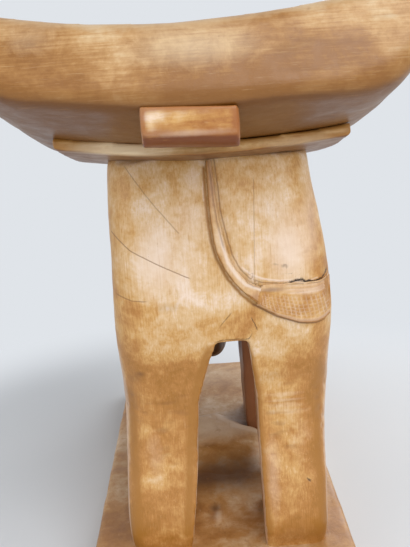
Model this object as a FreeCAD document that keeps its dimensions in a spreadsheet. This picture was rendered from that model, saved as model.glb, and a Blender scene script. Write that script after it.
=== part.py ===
import FreeCAD, Part
import math
import os

import Sketcher

# Ashanti elephant stool. The elephant walks towards +Y, its tail end faces -Y,
# +X is its right side and +Z is up. The origin lies under the middle of the
# base, on the floor. All lengths are millimetres.

# Driving dimensions of the plinth that the elephant stands on. Its ends are
# measured from the feet.
SIZES = {
    "base_width": 220.0,
    "base_rear_margin": 52.0,
    "base_front_margin": 134.0,
    "base_thickness": 35.0,
    "base_corner_radius": 7.0,
    "base_edge_radius": 3.0,

    # Rough rise of ground left between the feet
    "mound_half_width": 62.0,
    "mound_half_length": 75.0,
    "mound_rise": 15.0,
    "mound_shift_x": 4.0,
    "mound_shift_y": -6.0,

    # Levels at which the elephant's body is measured, above the floor
    "knee_level": 100.0,
    "hock_level": 165.0,
    "flank_level": 218.0,
    "rump_level": 280.0,
    "loin_level": 330.0,
    "back_level": 375.0,

    # Half of the body's width at each level
    "body_shift_x": 8.0,
    "foot_half_width": 82.0,
    "knee_half_width": 82.6,
    "hock_half_width": 84.05,
    "flank_half_width": 84.7,
    "rump_half_width": 82.1,
    "loin_half_width": 77.5,
    "back_half_width": 74.7,

    # How far the carver let each level stray sideways from the body's middle
    "foot_stray": -1.7,
    "knee_stray": -0.7,
    "hock_stray": 1.75,
    "flank_stray": 3.8,
    "rump_stray": 3.25,
    "loin_stray": -0.4,
    "back_stray": -1.1,

    # How far the hind quarters reach behind the origin at each level
    "foot_rear": 178.0,
    "knee_rear": 178.0,
    "hock_rear": 170.0,
    "flank_rear": 182.0,
    "rump_rear": 189.0,
    "loin_rear": 184.0,
    "back_rear": 168.0,

    # How far the chest reaches in front of the origin at each level
    "foot_front": 96.0,
    "knee_front": 96.0,
    "hock_front": 100.0,
    "flank_front": 107.0,
    "rump_front": 113.0,
    "loin_front": 110.0,
    "back_front": 104.0,
    "foot_corner_radius": 15.0,
    "body_corner_radius": 26.0,

    # Gap between left and right legs, each side measured from the body's middle
    "gap_left_foot": 33.5,
    "gap_left_knee": 25.1,
    "gap_left_hock": 20.4,
    "gap_left_top": 3.6,
    "gap_right_foot": 28.5,
    "gap_right_knee": 27.0,
    "gap_right_hock": 26.8,
    "gap_right_top": 20.8,
    "crotch_level": 218.6,

    # Arch under the belly between hind legs and forelegs
    "arch_foot_rear": 108.0,
    "arch_foot_front": 28.0,
    "arch_spring_rear": 98.0,
    "arch_spring_front": 20.0,
    "arch_spring_level": 165.0,
    "arch_radius": 62.0,

    # Stub tenons that carry each leg between plinth and torso
    "leg_top_level": 204.0,
    "leg_tenon_side": 24.0,
    "leg_tenon_length": 14.0,
    "leg_tenon_shift_x": 50.0,
    "hind_tenon_place": 143.0,
    "fore_tenon_place": 62.0,
    "tenon_clearance": 0.2,

    # Head, measured at four places from neck to face
    "neck_place": 84.0,
    "cheek_place": 130.0,
    "brow_place": 166.0,
    "face_place": 192.0,
    "neck_half_width": 57.0,
    "cheek_half_width": 60.0,
    "brow_half_width": 51.0,
    "face_half_width": 33.0,
    "neck_underside": 182.0,
    "cheek_underside": 166.0,
    "brow_underside": 160.0,
    "face_underside": 170.0,
    "neck_top": 330.0,
    "cheek_top": 338.0,
    "brow_top": 322.0,
    "face_top": 282.0,
    "neck_corner_radius": 40.0,
    "cheek_corner_radius": 46.0,
    "brow_corner_radius": 42.0,
    "face_corner_radius": 28.0,
    "neck_tenon_width": 44.0,
    "neck_tenon_height": 60.0,
    "neck_tenon_length": 30.0,

    # Trunk that hangs down and curls its tip in under the chin
    "trunk_shift_x": 3.0,
    "trunk_root_radius": 32.0,
    "trunk_tip_radius": 19.5,
    "trunk_root_place": 152.0,
    "trunk_root_level": 230.0,
    "trunk_reach": 50.0,
    "trunk_drop": 137.0,

    # Tusks with round pegs in the head
    "tusk_spacing": 74.0,
    "tusk_root_radius": 8.5,
    "tusk_tip_radius": 2.5,
    "tusk_root_place": 172.0,
    "tusk_root_level": 186.0,
    "tusk_length": 66.0,
    "tusk_peg_radius": 5.0,
    "tusk_peg_length": 16.0,

    # Ears, flat flaps that stand away from the shoulder
    "ear_length": 92.0,
    "ear_height": 148.0,
    "ear_thickness": 9.0,
    "ear_hinge_place": 152.0,
    "ear_foot_level": 192.0,
    "ear_hinge_half_width": 49.5,
    "ear_flare": 30.0,

    # Tail and its tuft in low relief on the rump
    "tail_relief": 4.5,
    "tuft_relief": 2.4,
    "tuft_wrap": 18.0,

    # Curved seat, bent about a level axis high above it
    "seat_level": 398.0,
    "seat_bend_radius": 800.0,
    "seat_thickness": 50.0,
    "seat_half_length": 290.0,
    "seat_half_width": 142.0,
    "seat_dish_radius": 520.0,
    "seat_belly_radius": 800.0,
    "seat_rim_radius": 10.0,
    "seat_end_edge_radius": 8.0,

    # Ledge under the seat
    "ledge_thickness": 8.5,
    "ledge_half_width": 101.5,
    "ledge_shift_x": 3.5,
    "ledge_half_length": 204.0,
    "ledge_edge_radius": 3.5,

    # Tenon on the elephant's back that runs through the ledge into the seat
    "saddle_tenon_width": 60.0,
    "saddle_tenon_length": 90.0,
    "saddle_tenon_depth": 16.0,
    "saddle_tenon_place": 38.0,

    # Lugs under the two ends of the seat
    "lug_width": 56.0,
    "lug_shift_x": -4.0,
    "lug_length": 81.0,
    "lug_end_level": 376.5,
    "lug_root_level": 368.5,
    "lug_face_chamfer": 10.0,
    "lug_edge_radius": 2.0,

    # How far a cutting shape runs past what it cuts
    "overrun": 20.0,
}

doc = FreeCAD.newDocument("ashanti_stool")
sheet = doc.addObject("Spreadsheet::Sheet", "Sizes")
for row, (alias, length) in enumerate(SIZES.items(), start=1):
    sheet.set("A%d" % row, alias)
    sheet.set("B%d" % row, str(length))
    sheet.setAlias("B%d" % row, alias)
doc.recompute()


# A length with the expression that binds a feature to the sheet
class Length:
    def __init__(self, number, text):
        self.number = number
        self.text = text

    def __add__(self, other):
        other = length_of(other)
        return Length(self.number + other.number, "(%s + %s)" % (self.text, other.text))

    def __sub__(self, other):
        other = length_of(other)
        return Length(self.number - other.number, "(%s - %s)" % (self.text, other.text))

    def __mul__(self, other):
        other = length_of(other)
        return Length(self.number * other.number, "(%s * %s)" % (self.text, other.text))

    def __truediv__(self, other):
        other = length_of(other)
        return Length(self.number / other.number, "(%s / %s)" % (self.text, other.text))

    def __neg__(self):
        return Length(-self.number, "(0 - %s)" % self.text)


def length_of(value):
    if isinstance(value, Length):
        return value
    return Length(float(value), repr(float(value)))


def root_of(value):
    return Length(math.sqrt(value.number), "sqrt(%s)" % value.text)


def sine_angle(value):
    return Length(math.degrees(math.asin(value.number)), "asin(%s)" % value.text)


def size(alias):
    return Length(float(sheet.get(alias)), "Sizes.%s" % alias)


NONE = length_of(0)
TOUCHING = 0.01
ON_THE_MIDDLE = 1.0
OVERRUN = size("overrun")
CLEARANCE = size("tenon_clearance")
BASE_TOP = size("base_thickness")
BODY_X = size("body_shift_x")


# Sketch on one of a body's own planes, shifted along the plane's axes
def sketch_on(body, name, role, lift=NONE, rise=NONE):
    plane = [item for item in body.Origin.OriginFeatures if item.Role == role][0]
    sketch = body.newObject("Sketcher::SketchObject", name)
    sketch.AttachmentSupport = [(plane, "")]
    sketch.MapMode = "FlatFace"
    sketch.setExpression(".AttachmentOffset.Base.z", lift.text)
    sketch.setExpression(".AttachmentOffset.Base.y", rise.text)
    return sketch


# Arc from one point to the next, its centre to the left or right of the way
def arc_between(start, end, radius, side):
    middle = (start + end) * 0.5
    way = end - start
    half = way.Length / 2
    square = FreeCAD.Vector(-way.y, way.x, 0).normalize()
    centre = middle + square * (side * math.sqrt(max(radius * radius - half * half, 0)))
    out = (middle - centre).normalize()
    return Part.Arc(start, centre + out * radius, end)


# Closed outline whose corners and arcs are all bound to the sheet.
# arcs holds, for a corner's number, the radius and side of the arc after it.
def add_outline(sketch, corners, arcs=None):
    arcs = arcs or {}
    count = len(corners)
    first = sketch.GeometryCount
    points = [FreeCAD.Vector(x.number, y.number, 0) for x, y in corners]
    starts = []
    ends = []
    for index in range(count):
        start = points[index]
        end = points[(index + 1) % count]
        if index in arcs:
            radius, side = arcs[index]
            sketch.addGeometry(arc_between(start, end, radius.number, side), False)
            # an arc in a sketch always runs against the clock
            starts.append(1 if side > 0 else 2)
            ends.append(2 if side > 0 else 1)
        else:
            sketch.addGeometry(Part.LineSegment(start, end), False)
            starts.append(1)
            ends.append(2)
    for index in range(count):
        following = (index + 1) % count
        sketch.addConstraint(Sketcher.Constraint(
            "Coincident", first + index, ends[index], first + following, starts[following]))
    for index, (x, y) in enumerate(corners):
        for kind, value in (("DistanceX", x), ("DistanceY", y)):
            number = sketch.addConstraint(Sketcher.Constraint(
                kind, first + index, starts[index], value.number))
            sketch.setExpression("Constraints[%d]" % number, value.text)
    for index, (radius, side) in arcs.items():
        number = sketch.addConstraint(Sketcher.Constraint("Radius", first + index, radius.number))
        sketch.setExpression("Constraints[%d]" % number, radius.text)


# Rounded rectangle between two edges each way
def add_rounded(sketch, left, right, low, high, radius):
    corners = [
        (left + radius, low), (right - radius, low),
        (right, low + radius), (right, high - radius),
        (right - radius, high), (left + radius, high),
        (left, high - radius), (left, low + radius),
    ]
    add_outline(sketch, corners, {1: (radius, 1), 3: (radius, 1), 5: (radius, 1), 7: (radius, 1)})


def add_box_outline(sketch, left, right, low, high):
    add_outline(sketch, [(left, low), (right, low), (right, high), (left, high)])


def new_body(name):
    return doc.addObject("PartDesign::Body", name)


def pad_of(body, sketch, length, both_ways=False, reverse=False):
    pad = body.newObject("PartDesign::Pad", body.Name + "_pad")
    pad.Profile = sketch
    pad.setExpression("Length", length.text)
    pad.SideType = "Symmetric" if both_ways else "One side"
    pad.Reversed = reverse
    doc.recompute()
    return pad


# Loft through sketches, the first one being the profile
def loft_of(body, sketches):
    loft = body.newObject("PartDesign::AdditiveLoft", body.Name + "_loft")
    loft.Profile = sketches[0]
    loft.Sections = sketches[1:]
    loft.Ruled = False
    doc.recompute()
    return loft


def round_edges(body, base, edges, radius):
    fillet = body.newObject("PartDesign::Fillet", body.Name + "_round")
    fillet.Base = (base, edges)
    fillet.setExpression("Radius", radius.text)
    doc.recompute()
    return fillet


def box(name, left, right, rear, front, low, high):
    block = doc.addObject("Part::Box", name)
    block.setExpression("Length", (right - left).text)
    block.setExpression("Width", (front - rear).text)
    block.setExpression("Height", (high - low).text)
    block.setExpression(".Placement.Base.x", left.text)
    block.setExpression(".Placement.Base.y", rear.text)
    block.setExpression(".Placement.Base.z", low.text)
    return block


def cut(name, base, tool):
    result = doc.addObject("Part::Cut", name)
    result.Base = base
    result.Tool = tool
    return result


def common(name, base, tool):
    result = doc.addObject("Part::Common", name)
    result.Base = base
    result.Tool = tool
    return result


def fuse(name, base, tool):
    result = doc.addObject("Part::Fuse", name)
    result.Base = base
    result.Tool = tool
    return result


# Copy on the other side of an upright plane across X or Y at the given place
def mirror_of(name, source, across, place):
    result = doc.addObject("Part::Mirroring", name)
    result.Source = source
    if across == "X":
        result.Normal = FreeCAD.Vector(1, 0, 0)
        result.setExpression(".Base.x", place.text)
    else:
        result.Normal = FreeCAD.Vector(0, 1, 0)
        result.setExpression(".Base.y", place.text)
    return result


# Edges of a shape whose middle passes a test
def edges_where(shape, test):
    names = []
    for number, edge in enumerate(shape.Edges, start=1):
        middle = edge.valueAt((edge.FirstParameter + edge.LastParameter) / 2)
        if test(edge, middle):
            names.append("Edge%d" % number)
    return names


nodes = []


def node(item, label):
    item.Label = label
    nodes.append(item)
    return item


# Places of the four leg tenons, from the body's middle
tenon_x = {"left": BODY_X - size("leg_tenon_shift_x"), "right": BODY_X + size("leg_tenon_shift_x")}
tenon_y = {"hind": -size("hind_tenon_place"), "fore": size("fore_tenon_place")}
half_tenon = size("leg_tenon_side") / 2

# Plinth: a thick board with eased corners and four blind mortises
base = new_body("base_blank")
base_sketch = sketch_on(base, "base_outline", "XY_Plane")
half_base_width = size("base_width") / 2
base_rear = -(size("foot_rear") + size("base_rear_margin"))
base_front = size("foot_front") + size("base_front_margin")
add_rounded(base_sketch, -half_base_width, half_base_width,
            base_rear, base_front, size("base_corner_radius"))
base_pad = pad_of(base, base_sketch, BASE_TOP)
top_edges = edges_where(base_pad.Shape, lambda edge, middle: abs(middle.z - BASE_TOP.number) < TOUCHING)
base_round = round_edges(base, base_pad, top_edges, size("base_edge_radius"))
mortise_sketch = sketch_on(base, "leg_mortises", "XY_Plane", lift=BASE_TOP)
half_mortise = half_tenon + CLEARANCE
for side_x in tenon_x.values():
    for end_y in tenon_y.values():
        add_box_outline(mortise_sketch, side_x - half_mortise, side_x + half_mortise,
                        end_y - half_mortise, end_y + half_mortise)
mortises = base.newObject("PartDesign::Pocket", "leg_mortise_pocket")
mortises.Profile = mortise_sketch
mortises.setExpression("Length", (size("leg_tenon_length") + CLEARANCE).text)
doc.recompute()
node(base, "base_plinth")

# Body of the elephant in the round: seven level sections from feet to back
levels = [
    ("foot", BASE_TOP), ("knee", size("knee_level")), ("hock", size("hock_level")),
    ("flank", size("flank_level")), ("rump", size("rump_level")),
    ("loin", size("loin_level")), ("back", size("back_level")),
]


def elephant_blank(name, grown):
    body = new_body(name)
    sections = []
    for place, level in levels:
        sketch = sketch_on(body, "%s_%s" % (name, place), "XY_Plane", lift=level)
        half = size(place + "_half_width") + grown
        middle = BODY_X + size(place + "_stray")
        corner = size("foot_corner_radius" if place in ("foot", "knee") else "body_corner_radius")
        add_rounded(sketch, middle - half, middle + half,
                    -(size(place + "_rear") + grown), size(place + "_front") + grown, corner + grown)
        sections.append(sketch)
    loft_of(body, sections)
    return body


blank = elephant_blank("elephant", NONE)

# Gap between the left and the right legs, cut right through along Y
gap = new_body("leg_gap")
gap_sketch = sketch_on(gap, "leg_gap_outline", "XZ_Plane")
add_outline(gap_sketch, [
    (BODY_X - size("gap_left_foot"), BASE_TOP - OVERRUN),
    (BODY_X + size("gap_right_foot"), BASE_TOP - OVERRUN),
    (BODY_X + size("gap_right_foot"), BASE_TOP),
    (BODY_X + size("gap_right_knee"), size("knee_level")),
    (BODY_X + size("gap_right_hock"), size("hock_level")),
    (BODY_X + size("gap_right_top"), size("crotch_level")),
    (BODY_X - size("gap_left_top"), size("crotch_level")),
    (BODY_X - size("gap_left_hock"), size("hock_level")),
    (BODY_X - size("gap_left_knee"), size("knee_level")),
    (BODY_X - size("gap_left_foot"), BASE_TOP),
])
pad_of(gap, gap_sketch, (base_front + OVERRUN) * 2, both_ways=True)

# Arch between hind legs and forelegs, cut right through along X
arch = new_body("belly_arch")
arch_sketch = sketch_on(arch, "belly_arch_outline", "YZ_Plane")
add_outline(arch_sketch, [
    (-size("arch_foot_rear"), BASE_TOP - OVERRUN),
    (size("arch_foot_front"), BASE_TOP - OVERRUN),
    (size("arch_foot_front"), BASE_TOP),
    (size("arch_spring_front"), size("arch_spring_level")),
    (-size("arch_spring_rear"), size("arch_spring_level")),
    (-size("arch_foot_rear"), BASE_TOP),
], {3: (size("arch_radius"), 1)})
pad_of(arch, arch_sketch, size("base_width") + OVERRUN * 2, both_ways=True)

standing = cut("elephant_standing", cut("elephant_two_sided", blank, gap), arch)

# Four legs, each with one stub tenon at the foot and one at the top
arch_middle = (size("arch_foot_front") - size("arch_foot_rear")) / 2
far_x = half_base_width + OVERRUN
far_rear = base_rear - OVERRUN
far_front = base_front + OVERRUN
spans_x = {"left": (-far_x, BODY_X), "right": (BODY_X, far_x)}
spans_y = {"hind": (far_rear, arch_middle), "fore": (arch_middle, far_front)}
LEG_TOP = size("leg_top_level")
leg_names = {
    ("hind", "left"): "hind_leg_left", ("hind", "right"): "hind_leg_right",
    ("fore", "left"): "foreleg_left", ("fore", "right"): "foreleg_right",
}
leg_cores = []
for (end, side), label in leg_names.items():
    quarter = box(label + "_quarter", spans_x[side][0], spans_x[side][1],
                  spans_y[end][0], spans_y[end][1], BASE_TOP, LEG_TOP)
    shank = common(label + "_shank", standing, quarter)
    core = box(label + "_tenons", tenon_x[side] - half_tenon, tenon_x[side] + half_tenon,
               tenon_y[end] - half_tenon, tenon_y[end] + half_tenon,
               BASE_TOP - size("leg_tenon_length"), LEG_TOP + size("leg_tenon_length"))
    socket = box(label + "_socket", tenon_x[side] - half_mortise, tenon_x[side] + half_mortise,
                 tenon_y[end] - half_mortise, tenon_y[end] + half_mortise,
                 LEG_TOP - OVERRUN, LEG_TOP + size("leg_tenon_length") + CLEARANCE)
    leg_cores.append(socket)
    node(fuse(label, shank, core), label)

# Rise of ground between the feet, lying on the plinth
swell = doc.addObject("Part::Ellipsoid", "mound_swell")
swell.setExpression("Radius1", size("mound_rise").text)
swell.setExpression("Radius2", size("mound_half_width").text)
swell.setExpression("Radius3", size("mound_half_length").text)
swell.setExpression(".Placement.Base.x", size("mound_shift_x").text)
swell.setExpression(".Placement.Base.y", size("mound_shift_y").text)
swell.setExpression(".Placement.Base.z", BASE_TOP.text)
above_base = box("mound_room", -half_base_width, half_base_width, base_rear, base_front,
                 BASE_TOP, BASE_TOP + size("mound_rise") + OVERRUN)
mound = common("mound_whole", swell, above_base)
for label in ("foreleg_left", "foreleg_right"):
    leg = [item for item in nodes if item.Label == label][0]
    mound = cut("mound_less_" + label, mound, leg)
node(mound, "ground_mound")

# Seat: one cross section bent about a level axis across the stool. In this
# section, heights count from the axis, so all of them are below zero. The
# bilge is the big rounding from its underside to its side, a share of the
# height of that side.
SEAT_BILGE_SHARE = 1.09
AXIS = size("seat_level") + size("seat_bend_radius")
SEAT_HALF = size("seat_half_width")
RIM = size("seat_rim_radius")
DISH = size("seat_dish_radius")
BELLY = size("seat_belly_radius")
dish_centre = DISH - size("seat_bend_radius")
seat_underside = -(size("seat_bend_radius") + size("seat_thickness"))
belly_centre = seat_underside + BELLY

rim_drop = root_of((DISH + RIM) * (DISH + RIM) - (SEAT_HALF - RIM) * (SEAT_HALF - RIM))
rim_centre = dish_centre - rim_drop
rim_x = (SEAT_HALF - RIM) * DISH / (DISH + RIM)
rim_y = dish_centre - rim_drop * DISH / (DISH + RIM)
side_low_y = belly_centre - root_of(BELLY * BELLY - SEAT_HALF * SEAT_HALF)
BILGE = (rim_centre - side_low_y) * SEAT_BILGE_SHARE
bilge_drop = root_of((BELLY - BILGE) * (BELLY - BILGE) - (SEAT_HALF - BILGE) * (SEAT_HALF - BILGE))
bilge_centre = belly_centre - bilge_drop
bilge_x = (SEAT_HALF - BILGE) * BELLY / (BELLY - BILGE)
bilge_y = belly_centre - bilge_drop * BELLY / (BELLY - BILGE)


def bent(name, corners, arcs, half_length, radius):
    body = new_body(name)
    sketch = sketch_on(body, name + "_section", "XZ_Plane", rise=AXIS)
    add_outline(sketch, corners, arcs)
    turn = body.newObject("PartDesign::Revolution", name + "_bend")
    turn.Profile = sketch
    turn.ReferenceAxis = (sketch, ["H_Axis"])
    turn.Midplane = True
    turn.setExpression("Angle", (sine_angle(half_length / radius) * 2).text)
    doc.recompute()
    return body, turn


seat_blank, seat_turn = bent("seat_blank", [
    (-bilge_x, bilge_y), (bilge_x, bilge_y), (SEAT_HALF, bilge_centre), (SEAT_HALF, rim_centre),
    (rim_x, rim_y), (-rim_x, rim_y), (-SEAT_HALF, rim_centre), (-SEAT_HALF, bilge_centre),
], {
    0: (BELLY, 1), 1: (BILGE, 1), 3: (RIM, 1), 4: (DISH, -1), 5: (RIM, 1), 7: (BILGE, 1),
}, size("seat_half_length"), size("seat_bend_radius") + size("seat_thickness"))


# The edges around the two flat ends of the seat, whose sides face along X
def end_edges(shape):
    names = []
    for face in shape.Faces:
        if face.Surface.TypeId != "Part::GeomPlane" or abs(face.normalAt(0, 0).x) > TOUCHING:
            continue
        for edge in face.Edges:
            for number, other in enumerate(shape.Edges, start=1):
                if other.isSame(edge):
                    names.append("Edge%d" % number)
    return names


round_edges(seat_blank, seat_turn, end_edges(seat_turn.Shape),
            size("seat_end_edge_radius"))

# Ledge: a thin panel of the same bend that lies against the seat's underside
# and sits a little to the right of its middle
LEDGE_ARC = BELLY + size("ledge_thickness")
ledge_left = size("ledge_shift_x") - size("ledge_half_width")
ledge_right = size("ledge_shift_x") + size("ledge_half_width")


def height_on(arc, x):
    return belly_centre - root_of(arc * arc - x * x)


ledge_blank, ledge_turn = bent("ledge_blank", [
    (ledge_left, height_on(LEDGE_ARC, ledge_left)), (ledge_right, height_on(LEDGE_ARC, ledge_right)),
    (ledge_right, height_on(BELLY, ledge_right)), (ledge_left, height_on(BELLY, ledge_left)),
], {0: (LEDGE_ARC, 1), 2: (BELLY, -1)}, size("ledge_half_length"),
    size("seat_bend_radius") + size("seat_thickness") + size("ledge_thickness"))
ledge_side_y = (height_on(LEDGE_ARC, ledge_right) + height_on(BELLY, ledge_left)) / 2
low_side_edges = edges_where(ledge_turn.Shape, lambda edge, middle: (
    min(abs(middle.x - ledge_left.number), abs(middle.x - ledge_right.number)) < TOUCHING
    and abs(middle.y) < ON_THE_MIDDLE
    and middle.z < AXIS.number + ledge_side_y.number))
round_edges(ledge_blank, ledge_turn, low_side_edges, size("ledge_edge_radius"))

# Everything above the ledge's underside, for cutting what stands under it
room_half = half_base_width + OVERRUN
room_low_y = belly_centre - root_of(LEDGE_ARC * LEDGE_ARC - room_half * room_half)
room_top_y = -(size("seat_bend_radius") / 2)
ledge_room, room_turn = bent("ledge_room", [
    (-room_half, room_low_y), (room_half, room_low_y), (room_half, room_top_y), (-room_half, room_top_y),
], {0: (LEDGE_ARC, 1)}, size("seat_half_length"), size("seat_bend_radius") / 2 + OVERRUN)

# Torso with its saddle tenon, four leg sockets and the socket for the neck
SADDLE_Y = -size("saddle_tenon_place")
half_saddle_x = size("saddle_tenon_width") / 2
half_saddle_y = size("saddle_tenon_length") / 2
saddle_top = AXIS + seat_underside + size("saddle_tenon_depth")
saddle = box("saddle_tenon", BODY_X - half_saddle_x, BODY_X + half_saddle_x,
             SADDLE_Y - half_saddle_y, SADDLE_Y + half_saddle_y,
             size("loin_level") - OVERRUN, saddle_top)
saddle_socket = box("saddle_socket", BODY_X - half_saddle_x - CLEARANCE,
                    BODY_X + half_saddle_x + CLEARANCE,
                    SADDLE_Y - half_saddle_y - CLEARANCE, SADDLE_Y + half_saddle_y + CLEARANCE,
                    size("loin_level") - OVERRUN, saddle_top + CLEARANCE)
half_neck_x = size("neck_tenon_width") / 2
half_neck_z = size("neck_tenon_height") / 2
neck_level = (size("neck_underside") + size("neck_top")) / 2
neck_end = size("rump_front") - size("neck_tenon_length")
neck_tenon = box("neck_tenon", BODY_X - half_neck_x, BODY_X + half_neck_x,
                 neck_end, size("rump_front") + OVERRUN / 2,
                 neck_level - half_neck_z, neck_level + half_neck_z)
neck_socket = box("neck_socket", BODY_X - half_neck_x - CLEARANCE, BODY_X + half_neck_x + CLEARANCE,
                  neck_end - CLEARANCE, size("rump_front") + OVERRUN,
                  neck_level - half_neck_z - CLEARANCE, neck_level + half_neck_z + CLEARANCE)
upper_half = box("torso_room", -far_x, far_x, far_rear, far_front,
                 LEG_TOP, size("back_level") + OVERRUN)
torso_solid = cut("torso_under_ledge", common("torso_whole", standing, upper_half), ledge_room)
torso = fuse("torso_with_tenon", torso_solid, saddle)
torso = cut("torso_neck", torso, neck_socket)
for number, socket in enumerate(leg_cores):
    torso = cut("torso_socket_%d" % number, torso, socket)
node(torso, "torso")

node(cut("ledge_with_window", ledge_blank, saddle_socket), "seat_ledge")
node(cut("seat_with_mortise", seat_blank, saddle_socket), "seat")

# Head: four upright sections from neck to face, cut back to the chest it grows from
head_body = new_body("head_blank")
head_sections = []
for place in ("neck", "cheek", "brow", "face"):
    sketch = sketch_on(head_body, "head_" + place, "XZ_Plane", lift=-size(place + "_place"))
    half = size(place + "_half_width")
    add_rounded(sketch, BODY_X - half, BODY_X + half, size(place + "_underside"),
                size(place + "_top"), size(place + "_corner_radius"))
    head_sections.append(sketch)
loft_of(head_body, head_sections)
head_solid = fuse("head_with_tenon", cut("head_on_chest", head_body, blank), neck_tenon)

# Tusks: four round sections each along a gentle rising curve, and a round peg
TUSK_PATH_SHARES = ((-0.18, 0.0), (0.36, -0.26), (0.70, -0.27), (1.0, -0.10))
TUSK_GIRTH_SHARES = (1.0, 0.97, 0.72, 0.0)


def lofted_rounds(name, centres, radii):
    rings = []
    last = len(centres) - 1
    for index, (centre, radius) in enumerate(zip(centres, radii)):
        way = centres[min(index + 1, last)] - centres[max(index - 1, 0)]
        rings.append(Part.Wire(Part.makeCircle(radius, centre, way)))
    item = doc.addObject("Part::Feature", name)
    item.Shape = Part.makeLoft(rings, True, False)
    return item


def amount(alias):
    return size(alias).number


tusk_blanks = {}
tusk_pegs = {}
for side, turn in (("left", -1), ("right", 1)):
    x = amount("body_shift_x") + turn * amount("tusk_spacing") / 2
    reach = amount("tusk_length")
    centres = []
    radii = []
    for (along, up), girth in zip(TUSK_PATH_SHARES, TUSK_GIRTH_SHARES):
        centres.append(FreeCAD.Vector(x, amount("tusk_root_place") + along * reach,
                                      amount("tusk_root_level") + up * reach))
        radii.append(amount("tusk_tip_radius")
                     + girth * (amount("tusk_root_radius") - amount("tusk_tip_radius")))
    tusk_blanks[side] = lofted_rounds("tusk_%s_blank" % side, centres, radii)
    peg_way = (centres[0] - centres[1]).normalize()
    peg_end = centres[1] + peg_way * ((centres[1] - centres[0]).Length + amount("tusk_peg_length"))
    for kind, room in (("peg", 0), ("hole", amount("tenon_clearance"))):
        round_peg = doc.addObject("Part::Feature", "tusk_%s_%s" % (side, kind))
        span = (peg_end - centres[1]).Length
        round_peg.Shape = Part.makeCylinder(amount("tusk_peg_radius") + room, span + room,
                                            centres[1], peg_way)
        tusk_pegs[side, kind] = round_peg

# Trunk: round sections along its curl, thick at the root, rounded at the tip
TRUNK_PATH_SHARES = ((0.0, 0.0), (0.68, -0.17), (0.96, -0.44), (0.96, -0.71),
                     (0.62, -0.92), (0.16, -1.0), (-0.12, -0.99), (-0.24, -0.98))
TRUNK_GIRTH_SHARES = (1.0, 0.85, 0.62, 0.38, 0.17, 0.0)
TRUNK_TIP_SHARES = (0.80, 0.42)
trunk_centres = []
for along, down in TRUNK_PATH_SHARES:
    trunk_centres.append(FreeCAD.Vector(
        amount("trunk_shift_x"),
        amount("trunk_root_place") + along * amount("trunk_reach"),
        amount("trunk_root_level") + down * amount("trunk_drop")))
trunk_radii = []
for girth in TRUNK_GIRTH_SHARES:
    trunk_radii.append(amount("trunk_tip_radius")
                       + girth * (amount("trunk_root_radius") - amount("trunk_tip_radius")))
for tip in TRUNK_TIP_SHARES:
    trunk_radii.append(amount("trunk_tip_radius") * tip)
trunk_blank = lofted_rounds("trunk_blank", trunk_centres, trunk_radii)

head = head_solid
for side in ("left", "right"):
    head = cut("head_hole_" + side, head, tusk_pegs[side, "hole"])
node(head, "head")
node(cut("trunk_on_head", trunk_blank, head_solid), "trunk")
for side in ("left", "right"):
    tusk = cut("tusk_%s_on_head" % side, tusk_blanks[side], head_solid)
    tusk = fuse("tusk_%s_with_peg" % side, tusk, tusk_pegs[side, "peg"])
    node(cut("tusk_%s_clear" % side, tusk, trunk_blank), "tusk_" + side)

# Ear: a flat flap, hinged on the cheek, its free edge standing off the shoulder
EAR_OUTLINE_SHARES = (
    (0.0, 0.72), (0.10, 0.90), (0.38, 1.0), (0.72, 0.96), (0.93, 0.80), (1.0, 0.53),
    (0.90, 0.24), (0.68, 0.03), (0.45, 0.0), (0.24, 0.17), (0.07, 0.44),
)
ear_body = new_body("ear_plate")
ear_sketch = sketch_on(ear_body, "ear_outline", "YZ_Plane")
add_outline(ear_sketch, [
    (-(size("ear_length") * back), size("ear_foot_level") + size("ear_height") * up)
    for back, up in EAR_OUTLINE_SHARES
])
pad_of(ear_body, ear_sketch, size("ear_thickness"))
ear_body.setExpression(".Placement.Rotation.Angle", sine_angle(size("ear_flare") / size("ear_length")).text)
ear_body.setExpression(".Placement.Base.x", (BODY_X + size("ear_hinge_half_width")).text)
ear_body.setExpression(".Placement.Base.y", size("ear_hinge_place").text)
ear_mirrored = mirror_of("ear_plate_left", ear_body, "X", BODY_X)
for side, plate in (("left", ear_mirrored), ("right", ear_body)):
    flap = cut("ear_%s_at_shoulder" % side, plate, blank)
    node(cut("ear_%s_at_head" % side, flap, head_solid), "ear_" + side)

# Tail and tuft: outlines seen from behind, shares of half the rump's width and
# of the level of the back, raised from the surface of the body
TAIL_OUTLINE_SHARES = (
    (-0.047, 0.975), (-0.048, 0.882), (-0.042, 0.843), (-0.027, 0.803), (-0.009, 0.780),
    (0.019, 0.762), (0.057, 0.744), (0.105, 0.725), (0.184, 0.701), (0.288, 0.677),
    (0.351, 0.665), (0.404, 0.707), (0.342, 0.713), (0.284, 0.719), (0.220, 0.735),
    (0.173, 0.748), (0.143, 0.762), (0.118, 0.782), (0.098, 0.802), (0.080, 0.822),
    (0.065, 0.842), (0.054, 0.861), (0.043, 0.900), (0.028, 0.938), (0.020, 0.975),
)
TUFT_OUTLINE_SHARES = (
    (0.351, 0.665), (0.432, 0.652), (0.538, 0.639), (0.641, 0.629), (0.747, 0.622),
    (0.830, 0.618), (0.909, 0.618), (1.12, 0.626), (1.12, 0.713), (0.932, 0.706),
    (0.727, 0.708), (0.507, 0.707), (0.404, 0.707),
)
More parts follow.
